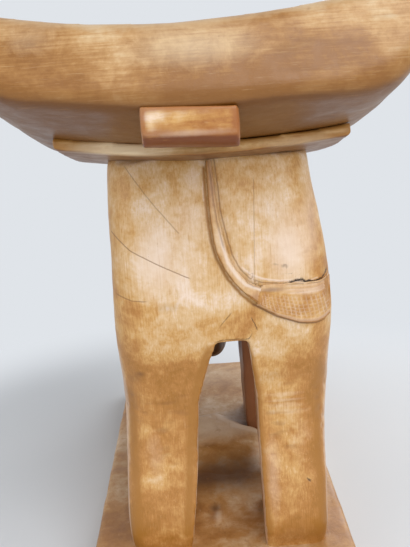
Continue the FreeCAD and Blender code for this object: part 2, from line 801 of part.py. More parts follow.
for label, outline, relief in (("tail", TAIL_OUTLINE_SHARES, "tail_relief"),
                               ("tail_tuft", TUFT_OUTLINE_SHARES, "tuft_relief")):
    grown = elephant_blank(label + "_skin", size(relief))
    strip = new_body(label + "_strip")
    strip_sketch = sketch_on(strip, label + "_outline", "XZ_Plane",
                             lift=size("rump_rear") + size(relief) - size("tuft_wrap"))
    add_outline(strip_sketch, [
        (BODY_X + size("rump_half_width") * across, size("back_level") * up)
        for across, up in outline
    ])
    pad_of(strip, strip_sketch, size("tuft_wrap") + OVERRUN)
    raised = common(label + "_raised", strip, grown)
    raised = cut(label + "_on_body", raised, blank)
    node(cut(label + "_under_ledge", raised, ledge_room), label)

# Lugs: blocks under the ends of the seat, against its underside and the ledge
lug_body = new_body("lug_block")
lug_sketch = sketch_on(lug_body, "lug_side", "YZ_Plane", lift=size("lug_shift_x"))
LUG_END = -(size("ledge_half_length") + size("lug_length"))
LUG_ROOT = -(size("ledge_half_length") - OVERRUN)
add_outline(lug_sketch, [
    (LUG_END, size("lug_end_level") + size("lug_face_chamfer")),
    (LUG_END + size("lug_face_chamfer"), size("lug_end_level")),
    (LUG_ROOT, size("lug_root_level")),
    (LUG_ROOT, size("seat_level") + OVERRUN),
    (LUG_END, size("seat_level") + OVERRUN),
])
lug_pad = pad_of(lug_body, lug_sketch, size("lug_width"), both_ways=True)
face_edges = edges_where(lug_pad.Shape, lambda edge, middle: (
    middle.y < LUG_END.number + size("lug_face_chamfer").number + TOUCHING
    and middle.z < size("seat_level").number + OVERRUN.number - TOUCHING))
round_edges(lug_body, lug_pad, face_edges, size("lug_edge_radius"))
lug_mirrored = mirror_of("lug_block_front", lug_body, "Y", NONE)
for end, block in (("rear", lug_body), ("front", lug_mirrored)):
    lug = cut("lug_%s_at_seat" % end, block, seat_blank)
    lug = cut("lug_%s_at_ledge" % end, lug, ledge_blank)
    above = box("lug_%s_top" % end, -far_x, far_x, LUG_END - OVERRUN, -(LUG_END - OVERRUN),
                AXIS - size("seat_bend_radius"), AXIS)
    node(cut("lug_%s_trimmed" % end, lug, above), "lug_" + end)

doc.recompute()

# Every object must have worked before anything is written
for item in doc.Objects:
    if "Invalid" in item.State or "Error" in item.State:
        raise RuntimeError("%s failed: %s" % (item.Label, item.State))
for item in nodes:
    if item.Shape.isNull() or not item.Shape.isValid():
        raise RuntimeError("%s has no valid shape" % item.Label)
    if len(item.Shape.Solids) != 1:
        raise RuntimeError("%s has %d solids" % (item.Label, len(item.Shape.Solids)))

os.makedirs("parts", exist_ok=True)
for item in nodes:
    item.Shape.exportStep("parts/%s.step" % item.Label)
    extent = item.Shape.optimalBoundingBox(False, False)
    print("%-16s volume %10.0f  X %7.1f %7.1f  Y %7.1f %7.1f  Z %7.1f %7.1f" % (
        item.Label, item.Shape.Volume, extent.XMin, extent.XMax,
        extent.YMin, extent.YMax, extent.ZMin, extent.ZMax))
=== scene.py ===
import math

import bmesh
import bpy
import numpy as np
from mathutils import Matrix, Vector, noise


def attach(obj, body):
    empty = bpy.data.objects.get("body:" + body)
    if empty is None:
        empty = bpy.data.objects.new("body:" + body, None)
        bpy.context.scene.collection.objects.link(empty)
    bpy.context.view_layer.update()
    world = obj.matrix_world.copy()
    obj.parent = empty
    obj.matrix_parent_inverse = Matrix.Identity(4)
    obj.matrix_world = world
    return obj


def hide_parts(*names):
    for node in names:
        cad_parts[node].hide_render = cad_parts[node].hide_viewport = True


bl_info = {
    "name": "Carved elephant stool",
    "version": (1, 0, 0),
    "blender": (4, 5, 0),
    "location": "View3D > Sidebar > Stool",
    "description": "Builds the looks of a carved wooden elephant stool over its solid parts",
    "category": "Add Mesh",
}

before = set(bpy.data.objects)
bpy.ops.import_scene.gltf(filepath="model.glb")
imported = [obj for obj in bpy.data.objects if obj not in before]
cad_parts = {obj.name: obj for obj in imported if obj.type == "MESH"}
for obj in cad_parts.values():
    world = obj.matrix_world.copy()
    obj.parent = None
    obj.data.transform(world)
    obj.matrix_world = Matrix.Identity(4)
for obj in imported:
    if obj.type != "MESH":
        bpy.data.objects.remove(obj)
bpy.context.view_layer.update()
MM = 0.001


def srgb(code):
    """Linear colour of an sRGB hex value."""
    channels = [int(code[place:place + 2], 16) / 255 for place in (1, 3, 5)]
    linear = [c / 12.92 if c <= 0.04045 else ((c + 0.055) / 1.055) ** 2.4 for c in channels]
    return (*linear, 1.0)


def add_node(tree, kind, settings=None, inputs=None, output=0):
    """Adds a shader node with its settings and links, and gives back one of its outputs."""
    made = tree.nodes.new("ShaderNode" + kind)
    for name, value in (settings or {}).items():
        if name == "stops":
            ramp = made.color_ramp
            while len(ramp.elements) < len(value):
                ramp.elements.new(1.0)
            for element, (place, colour) in zip(ramp.elements, value):
                element.position = place
                element.color = colour
        else:
            setattr(made, name, value)
    for name, value in (inputs or {}).items():
        if isinstance(value, bpy.types.NodeSocket):
            tree.links.new(value, made.inputs[name])
        else:
            made.inputs[name].default_value = value
    return made.outputs[output] if len(made.outputs) else made


def new_material(name):
    """Empty material with a node tree."""
    material = bpy.data.materials.new(name)
    material.use_nodes = True
    material.node_tree.nodes.clear()
    return material


# Sizes and colours that a user would change


def amount(name, description, default, unit="LENGTH"):
    return bpy.props.FloatProperty(name=name, description=description, default=default,
                                   unit=unit, precision=5)


def colour(name, description, code):
    return bpy.props.FloatVectorProperty(name=name, description=description, default=srgb(code),
                                         subtype="COLOR", size=4, min=0, max=1)


class StoolWood(bpy.types.PropertyGroup):
    """Tones of the waxed wood."""

    # pale also serves as painted sheen and painted light, and brown as painted shade
    pale: colour("Worn wood", "Wood where the wax is rubbed away", "#e8d1bd")
    light: colour("Bare wood", "Wood under a thin coat of wax", "#d9b78b")
    honey: colour("Waxed wood", "Most of the surface", "#ca9b5c")
    golden: colour("Golden wood", "Where wax lies thick", "#b37c3e")
    amber: colour("Amber wood", "Thick old wax along edges", "#a06c2a")
    brown: colour("Brown wax", "Wax darkened by handling", "#744a28")
    dirt: colour("Dirt", "Dirt in cracks and corners", "#2a1a0e")


class StoolShape(bpy.types.PropertyGroup):
    """Fineness of the carved surfaces."""

    body_step: amount("Body step", "Spacing of points on the body and legs", 2.0 * MM)
    seat_step: amount("Seat step", "Spacing of points on the seat", 2.6 * MM)
    small_step: amount("Small step", "Spacing of points on trunk, ears and head", 1.7 * MM)
    fine_step: amount("Fine step", "Spacing of points on tail, tuft and tusks", 0.7 * MM)
    tuft_score: amount("Tuft scoring", "Least distance between the cuts across the tuft", 2.2 * MM)


class StoolStudio(bpy.types.PropertyGroup):
    """Floor, backdrop and lamps."""

    floor: colour("Floor", "Pale studio floor", "#d9dcdf")
    backdrop: colour("Backdrop", "Pale studio backdrop", "#e0e4e9")
    floor_radius: amount("Floor radius", "How far the floor reaches", 3.0)
    key_power: amount("Key lamp", "Large soft lamp", 33.0, "POWER")
    fill_power: amount("Fill lamp", "Weak lamp on the left", 7.0, "POWER")
    back_power: amount("Back lamp", "Soft lamp to the elephant's right", 20.0, "POWER")


# Mesh tools shared by all pieces


def merged_copy(node):
    """Copy of a CAD node's mesh with its loose triangles merged."""
    shape = bmesh.new()
    shape.from_mesh(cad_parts[node].data)
    bmesh.ops.remove_doubles(shape, verts=shape.verts, dist=0.002 * MM)
    return shape


def object_from(name, *shapes):
    """Object that holds one or more bmeshes."""
    whole = bpy.data.meshes.new(name)
    joined = bmesh.new()
    for shape in shapes:
        part = bpy.data.meshes.new(name + "_part")
        shape.to_mesh(part)
        shape.free()
        joined.from_mesh(part)
        bpy.data.meshes.remove(part)
    joined.to_mesh(whole)
    joined.free()
    piece = bpy.data.objects.new(name, whole)
    bpy.context.scene.collection.objects.link(piece)
    return piece


def settled(piece, *modifiers):
    """Adds modifiers to a piece and makes their result its mesh."""
    for kind, settings in modifiers:
        modifier = piece.modifiers.new(kind.title(), kind)
        for name, value in settings.items():
            setattr(modifier, name, value)
    graph = bpy.context.evaluated_depsgraph_get()
    finished = bpy.data.meshes.new_from_object(piece.evaluated_get(graph))
    old = piece.data
    piece.modifiers.clear()
    piece.data = finished
    bpy.data.meshes.remove(old)
    return piece


def carved(name, step, rounds, *shapes):
    """Object with one even skin over its shapes, its edges worn round."""
    piece = settled(object_from(name, *shapes), ("REMESH", {"mode": "VOXEL", "voxel_size": step}))
    if rounds:
        settled(piece, ("SMOOTH", {"iterations": rounds, "factor": 0.5}))
    return piece


def points_of(mesh):
    """Places of a mesh's points, in mm."""
    flat = np.empty(len(mesh.vertices) * 3)
    mesh.vertices.foreach_get("co", flat)
    return flat.reshape(-1, 3) / MM


def normals_of(mesh):
    flat = np.empty(len(mesh.vertices) * 3)
    mesh.vertices.foreach_get("normal", flat)
    return flat.reshape(-1, 3)


def move_points(mesh, points):
    """Puts a mesh's points at the given places, in mm."""
    mesh.vertices.foreach_set("co", np.ascontiguousarray(points * MM).ravel())
    mesh.update()


def raised(mesh, rise):
    """Moves each point along its normal by so many mm, and gives back their places."""
    points = points_of(mesh) + normals_of(mesh) * rise[:, None]
    move_points(mesh, points)
    return points


def waves(points, step, seed):
    """Smooth uneven waves from -1 to 1, about one step apart, in mm."""
    shifted = points / step + seed * 7.31
    return np.array([noise.noise(place) for place in shifted.tolist()])


def uneven(points, seed, *sizes):
    """Sum of waves of several sizes, each with its step and height in mm."""
    return sum(waves(points, step, seed + turn) * height
               for turn, (step, height) in enumerate(sizes))


def ease(values, low, high):
    """0 below low, 1 above high and a smooth rise between them."""
    share = np.clip((values - low) / (high - low), 0, 1)
    return share * share * (3 - 2 * share)


def painted(points, *spots):
    """Sum of soft spots: centre, reach along X, Y and Z in mm, and strength."""
    total = np.zeros(len(points))
    for centre, reach, strength in spots:
        away = (points - np.array(centre)) / np.array(reach)
        total += strength * np.exp(-1.5 * (away * away).sum(axis=1))
    return total


def rear(y, reach, *spots):
    """Spots that share a depth, each given as x, z, reach along X and Z, and strength."""
    return [((x, y, z), (wide, reach, high), strength) for x, z, wide, high, strength in spots]


def runs_of(line):
    """Start, direction and length of each straight run of a line."""
    for start, end in zip(line[:-1], line[1:]):
        start, end = np.array(start, float), np.array(end, float)
        reach = np.linalg.norm(end - start)
        yield start, (end - start) / reach, reach


def near_line(flat, line):
    """Distance of each flat place along a line and away from it, all in mm."""
    best = np.full(len(flat), np.inf)
    along = np.zeros(len(flat))
    walked = 0.0
    for start, way, reach in runs_of(line):
        reached = np.clip((flat - start) @ way, 0, reach)
        away = np.linalg.norm(flat - start - reached[:, None] * way, axis=1)
        nearer = away < best
        best[nearer] = away[nearer]
        along[nearer] = (walked + reached)[nearer]
        walked += reach
    return along, best


def mean_around(mesh):
    """Function that gives the mean of the values at each point's neighbours."""
    flat = np.empty(len(mesh.edges) * 2, dtype=np.int32)
    mesh.edges.foreach_get("vertices", flat)
    first, second = flat.reshape(-1, 2).T
    count = len(mesh.vertices)
    share = np.maximum(np.bincount(flat, minlength=count), 1)

    def mean(values):
        total = (np.bincount(first, weights=values[second], minlength=count)
                 + np.bincount(second, weights=values[first], minlength=count))
        return total / share

    return mean


def spread(mesh, values, rounds):
    """Values averaged with their neighbours, the given number of times."""
    mean = mean_around(mesh)
    for _ in range(rounds):
        values = (values + mean(values)) / 2
    return values


def bulge_of(mesh):
    """How far each point stands out from its neighbours, in mm, hollows below zero."""
    points = points_of(mesh)
    mean = mean_around(mesh)
    apart = points - np.column_stack([mean(column) for column in points.T])
    return (apart * normals_of(mesh)).sum(axis=1)


def rubbed(mesh, weights, rounds):
    """Draws each point towards its neighbours, by its weight, the given number of times."""
    points = points_of(mesh)
    mean = mean_around(mesh)
    for _ in range(rounds):
        for column in points.T:
            column += weights * 0.5 * (mean(column) - column)
    move_points(mesh, points)


def keep_values(mesh, **layers):
    """Stores numbers of each point for the materials to read."""
    for name, values in layers.items():
        if name in mesh.attributes:
            mesh.attributes.remove(mesh.attributes[name])
        layer = mesh.attributes.new(name, "FLOAT", "POINT")
        layer.data.foreach_set("value", np.ascontiguousarray(values, dtype=np.float32))


def draw_lines(mesh, key, lines):
    """Keeps the signed distance to the nearest line, in half widths, and the line's strength.

    A line is (x, z) places in mm on the rump, its half width in mm and its strength. The
    distance changes evenly across a line, so that lines finer than the mesh stay sharp.
    """
    points = points_of(mesh)
    flat = points[:, ::2]
    away = np.full(len(flat), 99.0)
    strength = np.zeros(len(flat))
    nearest = np.full(len(flat), np.inf)
    for places, half, power in lines:
        for start, way, reach in runs_of(places):
            along = (flat - start) @ way
            over = np.maximum(np.maximum(-along, along - reach), 0)
            across = (flat - start) @ np.array((-way[1], way[0]))
            apart = np.hypot(across, over)
            nearer = apart < nearest
            nearest[nearer] = apart[nearer]
            away[nearer] = (across / half)[nearer]
            strength[nearer] = (power * (1 - ease(over, 0.2, 1.6)) * (1 - ease(apart, 4, 7)))[nearer]
    strength *= ease(-points[:, 1], 115, 125)
    keep_values(mesh, **{key + "_away": away, key + "_line": strength})


def mark_wear(mesh, step, reach):
    """Shades a mesh smooth and marks its edges and hollows, in bands of so many mm."""
    mesh.shade_smooth()
    rounds = max(2, round((reach * MM / step) ** 2 / 2))
    bulge = spread(mesh, bulge_of(mesh), rounds)
    # the bulge that gives a full mark
    full = 0.035 * (step / MM) ** 2
    keep_values(mesh, edge=np.clip(bulge / full, 0, 1), hollow=np.clip(-bulge / full, 0, 1))


def sliced(skin, place, way, above):
    """What lies on one side of a plane through a skin, open at the cut."""
    shape = bmesh.new()
    shape.from_mesh(skin.data)
    bmesh.ops.bisect_plane(shape, geom=shape.verts[:] + shape.edges[:] + shape.faces[:],
                           plane_co=place, plane_no=way, clear_inner=above, clear_outer=not above)
    return shape


def finish_piece(piece, material, node):
    """Gives a piece its material and lets it stand for its CAD node."""
    piece.data.materials.clear()
    piece.data.materials.append(material)
    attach(piece, "root")
    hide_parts(node)


# Materials

# Ashanti stool wood: pale, even and close grained, carved with adze and knife,
# rubbed smooth and waxed. It shows honey patches, golden wax along edges, fine
# scratches along the fibres and dirt in its checks.
def waxed_wood(name, fibre, depth=1.0, strokes=(), streak=0.25, **codes):
    """Waxed wood with fibres of the given mm along X, Y and Z, and with tones of its own."""
    wood = bpy.context.scene.stool_wood
    tones = {key: tuple(getattr(wood, key)) for key in StoolWood.__annotations__}
    tones.update({key: srgb(code) for key, code in codes.items()})
    material = new_material(name)
    tree = material.node_tree
    place = add_node(tree, "TexCoord", output=3)
    along = add_node(tree, "Mapping", None,
                     {"Vector": place, "Scale": tuple(1 / (size * MM) for size in fibre)})
    finer = add_node(tree, "Mapping", None,
                     {"Vector": place, "Location": (3.1, 1.7, 5.3), "Rotation": (0.03, 0.05, 0.04),
                      "Scale": tuple(1 / (0.45 * size * MM) for size in fibre)})
    # where each pattern is read, its scale, detail, roughness and distortion; real pores and
    # fibres are finer, and these are as coarse as the render can show
    patches, blotches, mottle, pores, fibres, scratches = [
        add_node(tree, "TexNoise", None,
                 {"Vector": vector, "Scale": scale, "Detail": detail, "Roughness": rough,
                  "Distortion": bend})
        for vector, scale, detail, rough, bend in (
            (place, 1 / (58 * MM), 3.0, 0.55, 0.6), (place, 1 / (15 * MM), 6.0, 0.68, 0.4),
            (place, 1 / (4.2 * MM), 3.0, 0.6, 0.5), (place, 1 / (1.1 * MM), 2.0, 0.5, 0.0),
            (along, 1.0, 4.0, 0.6, 0.0), (finer, 1.0, 2.0, 0.5, 0.0))]

    # wood tones, drawn towards golden by the wax, which holds thick wax and painted shade
    wax = add_node(tree, "Attribute", {"attribute_name": "wax"}, output=2)
    tone = patches
    for value, amount in ((blotches, 0.65), (mottle, 0.22), (fibres, streak), (wax, -0.36)):
        tone = add_node(tree, "Math", {"operation": "MULTIPLY_ADD"},
                        {0: value, 1: amount, 2: tone})
    middle = 0.5 * (1 + 0.65 + 0.22 + streak)
    tone = add_node(tree, "MapRange", None,
                    {"Value": tone, "From Min": middle - 0.46, "From Max": middle + 0.22})
    stops = ((0.0, "amber"), (0.26, "golden"), (0.5, "honey"), (0.74, "light"), (1.0, "pale"))
    skin = add_node(tree, "ValToRGB",
                    {"stops": [(share, tones[key]) for share, key in stops]}, {"Fac": tone})

    def marked(name, texture, amount):
        value = add_node(tree, "Attribute", {"attribute_name": name}, output=2)
        return add_node(tree, "Math", {"operation": "MULTIPLY_ADD"},
                        {0: texture, 1: amount, 2: value})

    # layers over the tones: what draws each one in, its limits, strength and colour
    layers = [
        (scratches, 0.64, 0.73, 0.3, "light"),
        (scratches, 0.36, 0.27, 0.35, "amber"),
        (marked("edge", blotches, 0.8), 0.5, 1.4, 0.85, "amber"),
        # brown paints stains and painted shade, pale paints wear, painted sheen and painted light
        (marked("stain", blotches, 0.5), 0.42, 1.2, 0.9, "brown"),
        (marked("worn", blotches, 0.4), 0.32, 1.15, 0.85, "pale"),
        (fibres, 0.38, 0.27, 0.4, "golden"),
        (pores, 0.31, 0.22, 0.3, "brown"),
        (marked("hollow", mottle, 0.3), 0.25, 1.1, 0.85, "brown"),
        (marked("cut", mottle, 0.3), 0.25, 1.1, 0.6, "pale"),
    ]
    # drawn lines, whose edges wander with the mottle
    for key in strokes:
        wander = 4.0 if key == "dirt" else 1.0
        away = marked(key + "_away", mottle, wander)
        away = add_node(tree, "Math", {"operation": "SUBTRACT"}, {0: away, 1: wander / 2})
        away = add_node(tree, "Math", {"operation": "ABSOLUTE"}, {0: away})
        power = add_node(tree, "Attribute", {"attribute_name": key + "_line"}, output=2)
        layers.append((away, 1.1, 0.2, power, key))

    relief = fibres
    for value, height in ((blotches, 1.6), (mottle, 0.7), (pores, 0.25)):
        relief = add_node(tree, "Math", {"operation": "MULTIPLY_ADD"},
                          {0: value, 1: height, 2: relief})
    for turn, (value, least, most, strength, key) in enumerate(layers):
        cover = add_node(tree, "MapRange", None,
                         {"Value": value, "From Min": least, "From Max": most, "To Max": strength})
        skin = add_node(tree, "Mix", {"data_type": "RGBA"},
                        {0: cover, 6: skin, 7: tones[key]}, output=2)
        # drawn lines are cut into the wood, pale ones stand on it
        if turn >= len(layers) - len(strokes):
            relief = add_node(tree, "Math", {"operation": "MULTIPLY_ADD"},
                              {0: cover, 1: 1.5 if key == "pale" else -2.0, 2: relief})
    bump = add_node(tree, "Bump", None,
                    {"Height": relief, "Strength": 0.55, "Distance": 0.24 * depth * MM})
    gloss = add_node(tree, "MapRange", None,
                     {"Value": blotches, "From Min": 0.35, "From Max": 0.65, "To Min": 0.34,
                      "To Max": 0.5})
    shader = add_node(tree, "BsdfPrincipled", None,
                      {"Base Color": skin, "Roughness": gloss, "IOR": 1.48, "Normal": bump})
    add_node(tree, "OutputMaterial", None, {"Surface": shader})
    return material


# The elephant's body and legs, carved as one skin and then parted at the CAD's joints, in mm

LEG_TOP = 204.0
BODY_X = 8.0
ARCH_MIDDLE = -40.0
LEGS = {
    "hind_leg_left": (-1, -1), "hind_leg_right": (1, -1),
    "foreleg_left": (-1, 1), "foreleg_right": (1, 1),
}


def body_skin(step):
    """Whole skin of torso and legs before it is parted."""
    skin = carved("elephant_skin", step, 0, *[merged_copy(node) for node in ("torso", *LEGS)])
    mesh = skin.data
    points = points_of(mesh)
    x, y, z = points.T
    up = normals_of(mesh)[:, 2]
    # the back grows into the ledge and the soles into the plinth, so that no wear opens them
    z += 5 * (ease(up, 0.3, 0.75) * (z > 325) * (z < 358) - ease(-up, 0.3, 0.75) * (z < 40))
    move_points(mesh, points)
    # the corners at the top of the gap between the legs stay crisp
    crisp = ease(z, 198, 208) * ease(-z, -232, -224) * ease(x, -4, 1) * ease(-x, -38, -32)
    crisp = np.maximum(crisp, 0.75 * ease(-z, -60, -44))
    # and so do the long edges of the hind legs
    crisp = np.maximum(crisp, 0.7 * ease(-z, -215, -190) * ease(-y, 110, 140))
    rubbed(mesh, 1 - crisp, 9)
    # behind its rear corner the inner side of the right leg falls away from the gap
    points = points_of(mesh)
    x, y, z = points.T
    x += 2.6 * (ease(y, -178, -120) * (y < ARCH_MIDDLE) * ease(-x, -52, -40) * (x > 20)
                * ease(-z, -205, -190))
    move_points(mesh, points)
    points = points_of(mesh)
    x, y, z = points.T
    rise = uneven(points, 1, (70, 1.1), (24, 0.45), (9, 0.14))
    # chisel marks across the shins
    shin = (y < -90) * ease(z, 95, 130) * ease(-z, -190, -165)
    marks = waves(points * np.array([0.35, 1, 1]), 5.5, 4)
    rise += shin * np.minimum(marks, 0) * 0.9
    # both haunches swell a little where they turn into the legs
    rise += painted(points, ((92, -170, 238), (22, 60, 28), 1.0), ((-78, -170, 232), (22, 60, 40), 1.1))
    # the shoulders lie flat under the ears
    rise -= ((2.0 + np.maximum(rise, 0)) * ease(y, 45, 75) * (z > 185)
             * ease(np.abs(normals_of(mesh)[:, 0]), 0.3, 0.7))
    rise -= painted(points, ((94, 90, 245), (44, 38, 66), 6.5))
    raised(mesh, rise)
    return skin


def mark_body(mesh, step):
    """Wear, wax, stains, painted sheen, and painted light and shade on the elephant."""
    mark_wear(mesh, step, 5)
    points = points_of(mesh)
    x, y, z = points.T
    normals = normals_of(mesh)
    # wax lies thick along the long edges, and their outermost strip is painted pale as a sheen
    side = np.abs(normals[:, 0])
    behind = ease(-y, 120, 150)
    band = ease(side, 0.12, 0.3) * (1 - ease(side, 0.6, 0.8)) * behind
    strip = ease(side, 0.75, 0.95) * behind * ease(-z, -225, -200)
    wax = (0.8 * ease(-z, -232, -180) + 0.05 * ease(z, 325, 356) + 0.25 * ease(y, -150, -110)
           + 0.2 * band)
    # wax spots; those that take wax off the shins paint light where the shins face up
    wax += painted(
        points, ((60, -180, 338), (28, 40, 12), 0.25), ((22, -186, 330), (24, 40, 26), 0.1),
        ((8, -185, 232), (40, 60, 24), 0.4), ((88, -170, 290), (12, 60, 60), 0.5),
        *rear(-178, 60, (-72, 280, 12, 90, 0.6), (-60, 225, 30, 34, 0.2), (-42, 118, 22, 44, -0.4),
              (-42, 140, 20, 14, -0.3), (60, 128, 24, 52, -0.45)))
    # painted shade where the forelegs face each other and the hind legs, and across the hind thighs
    # where they turn down; the other spots darken the wood in patches
    facing = np.maximum(-normals[:, 0] * np.sign(x - BODY_X), -normals[:, 1])
    stain = 1.5 * ease(facing, 0.45, 0.8) * ease(-z, -225, -195) * (y > 0) + painted(
        points, ((90, -160, 260), (10, 80, 50), 0.35), ((55, -180, 186), (44, 40, 9), 0.3),
        ((14, -185, 222), (26, 60, 10), 0.2), ((8, -186, 345), (3, 20, 30), 0.3),
        ((-30, -186, 252), (22, 40, 7), 0.3),
        *rear(-178, 40, (-56, 195, 5, 3, 0.8), (-60, 190, 9, 5, 0.4), (-34, 168, 50, 8, 0.25),
              (-66, 175, 9, 26, 0.3)),
        *rear(-178, 60, (-20, 45, 40, 14, 0.2), (62, 48, 40, 18, 0.4)))
    # painted sheen on both haunches, painted light on the shins where they face up, and thin pale lines
    # across the right leg
    worn = painted(
        points, *rear(
            -186, 50, (-36, 288, 18, 34, 0.8), (-12, 286, 20, 34, 0.3), (-8, 320, 18, 16, 0.35),
            (-4, 345, 5, 10, 0.5), (62, 290, 20, 30, 0.9), (48, 322, 24, 14, 0.3),
            (80, 318, 8, 34, 0.4)),
        *rear(-178, 50, (-50, 122, 12, 30, 0.25), (44, 100, 8, 44, 0.35), (68, 132, 20, 40, 0.2)),
        *rear(-178, 20, (55, 168, 22, 1.7, 0.5), (56, 162.6, 22, 1.6, 0.45), (55, 158, 20, 1.4, 0.5),
              (55, 152, 20, 1.4, 0.4)))
    lines = [near_line(points[:, ::2], line)[1] for line in LEG_BANDS]
    gilded = np.exp(-(np.min(lines, axis=0) / 3.6) ** 2) * ease(-normals[:, 1], 0.1, 0.4)
    edge = gilded * behind * ease(-z, -232, -205)
    keep_values(mesh, wax=wax, stain=stain - 0.3 * strip, worn=worn + 0.5 * strip,
                edge=1.25 * np.clip(edge, 0, 1))
    for key, lines in RUMP_LINES.items():
        draw_lines(mesh, key, lines)


def part_of_skin(skin, name, above, side=None):
    """Cuts one piece out of the skin and closes its cut."""
    shape = sliced(skin, (0, 0, LEG_TOP * MM), (0, 0, 1), above)
    if side:
        away = [v for v in shape.verts if (v.co.x / MM - BODY_X) * side[0] < 0
                or (v.co.y / MM - ARCH_MIDDLE) * side[1] < 0]
        bmesh.ops.delete(shape, geom=away, context="VERTS")
    rim = [e for e in shape.edges if e.is_boundary]
    made = bmesh.ops.holes_fill(shape, edges=rim, sides=0)
    for face in made["faces"]:
        for edge in face.edges:
            edge.smooth = False
    bmesh.ops.triangulate(shape, faces=made["faces"])
    return object_from(name, shape)


# Lines where wax is rubbed golden down the hind legs, seen from behind: (x, z) places in mm
LEG_BANDS = (
    ((-1.4, 214), (-7, 198), (-12.9, 179), (-17.4, 159), (-20.7, 133), (-24, 97), (-28.5, 56)),
    ((-67, 176), (-66.5, 150), (-67.5, 126), (-66.7, 90), (-68.7, 57)),
    ((28.2, 212), (31.9, 193), (34.8, 172), (35.2, 146), (35.7, 120), (36.6, 84), (37.7, 51)),
    ((85, 190), (84.2, 167), (82.5, 123), (82.4, 78), (81.7, 45)),
)
# Lines on the rump: beads, the seam beside the tail, grooves, checks and lines of painted shade, each
# with its (x, z) places in mm, half width in mm and strength
RUMP_LINES = {
    "pale": (
        (((27, 279), (33, 273.4), (41.5, 269.6), (52, 267.4), (62, 266.8)), 1.1, 0.75),
        (((2.0, 342), (1.8, 330)), 0.8, 0.5), (((62, 266.0), (72, 265.0), (82, 266.6)), 0.8, 0.45),
    ),
    "amber": (
        # painted shade along the left edge of the tail
        (((3.4, 352), (3.3, 331), (4.0, 315), (5.6, 299), (8.6, 286.5), (15.9, 271),
          (25.8, 257.6), (34.6, 249.2)), 1.6, 0.9),
    ),
    "brown": (
        # painted shadow under the rim of the tuft, then painted shade in the groove right of the tail
        (((33.6, 250.0), (51.5, 238.6), (68, 232.2), (81, 230.6), (88, 231.8)), 1.0, 0.8),
        (((11.2, 358), (12.6, 340), (13.4, 322), (16.4, 306), (20.2, 289), (25.4, 278),
          (32, 270.6), (41, 266.6), (52, 265.4)), 0.8, 0.55),
        (((-53, 356), (-36, 331), (-18, 308)), 0.6, 0.45),
        (((-67, 309), (-54, 297), (-33, 284.5), (-13, 274)), 0.6, 0.7),
        (((-67, 262), (-56, 258.5), (-46, 258)), 0.7, 0.6), (((38.7, 342), (34.6, 253)), 0.5, 0.4),
    ),
    "dirt": (
        (((16, 243), (9, 234)), 0.5, 0.5), (((32.5, 238), (36, 229)), 0.5, 0.7),
        (((4.5, 220), (12, 221.6), (30, 220.6), (31.5, 224)), 0.6, 0.6),
        (((56, 263.6), (61, 264.6), (64, 266.6), (69.4, 267.6), (72.4, 264.4)), 1.4, 1.0),
        (((72, 264.0), (76, 265.4), (81, 264.0), (85, 265.4)), 1.1, 1.0),
        (((85, 265.0), (88, 266.4), (91, 270.0)), 1.1, 0.8),
        (((54.6, 259.6), (56.4, 261.8)), 0.9, 0.9), (((72.2, 95.6), (73.4, 94.4)), 1.1, 0.8),
        (((56.6, 278.6), (59.4, 278.0)), 1.5, 0.4), (((50.5, 280), (52, 279.6)), 1.0, 0.25),
    ),
}


class STOOL_OT_elephant(bpy.types.Operator):
    """Torso and four legs of the elephant"""

    bl_idname = "stool.elephant"
    bl_label = "Elephant"

    def execute(self, context):
        step = context.scene.stool_shape.body_step
        skin = body_skin(step)
        mark_body(skin.data, step)
        wood = waxed_wood("waxed_body_wood", (1.1, 1.1, 30.0), strokes=tuple(RUMP_LINES),
                          streak=0.4, brown="#80552c")
        finish_piece(part_of_skin(skin, "carved_torso", True), wood, "torso")
        shaded = waxed_wood("waxed_foreleg_wood", (1.1, 1.1, 30.0), brown="#7f4f33")
        for node, side in LEGS.items():
            leg = part_of_skin(skin, "carved_" + node, False, side)
            finish_piece(leg, shaded if node.startswith("foreleg") else wood, node)
        bpy.data.objects.remove(skin)
        return {"FINISHED"}


class STOOL_OT_head(bpy.types.Operator):
    """Head with brow, eyes and mouth"""

    bl_idname = "stool.head"
    bl_label = "Head"

    def execute(self, context):
        step = context.scene.stool_shape.small_step
        head = carved("carved_head", step, 8, merged_copy("head"))
        mesh = head.data
        points = points_of(mesh)
        rise = uneven(points, 11, (30, 0.6), (11, 0.2))
        for side in (-1, 1):
            x = BODY_X + side * 46
            rise += painted(
                points, ((x, 160, 266), (14, 9, 7), 3.4), ((x, 160, 277), (20, 13, 4), -2.2),
                ((x, 160, 255), (20, 12, 3.5), -1.8), ((x, 158, 192), (22, 24, 2.6), -2.2),
                ((BODY_X + side * 24, 172, 305), (17, 26, 17), 2.6))
        raised(mesh, rise)
        mark_wear(mesh, step, 4)
        wood = waxed_wood("waxed_head_wood", (1.3, 1.3, 30.0))
        finish_piece(head, wood, "head")
        return {"FINISHED"}


# Middle line of the trunk in the solid, in mm
TRUNK_LINE = ((152, 230), (186, 207), (200, 170), (200, 133), (183, 104), (160, 93), (146, 94),
              (140, 96))


class STOOL_OT_trunk(bpy.types.Operator):
    """Curled trunk with its wrinkles"""

    bl_idname = "stool.trunk"
    bl_label = "Trunk"

    def execute(self, context):
        step = context.scene.stool_shape.small_step
        trunk = carved("carved_trunk", step, 4, merged_copy("trunk"))
        mesh = trunk.data
        points = points_of(mesh)
        along, _ = near_line(points[:, 1:], TRUNK_LINE)
        spacing = 9.0
        wrinkle = np.maximum(np.sin(along / spacing * 2 * math.pi), 0) ** 3
        wrinkle *= ease(along, 30, 55) * (0.6 + 0.4 * waves(points, 18, 21))
        raised(mesh, waves(points, 20, 22) * 0.4 - wrinkle * 1.1)
        mark_wear(mesh, step, 3)
        # darker towards the curled tip, a painted shade
        keep_values(mesh, stain=0.35 + 0.9 * ease(along, 120, 170))
        wood = waxed_wood("waxed_trunk_wood", (1.3, 1.3, 30.0), brown="#3f2614")
        finish_piece(trunk, wood, "trunk")
        return {"FINISHED"}


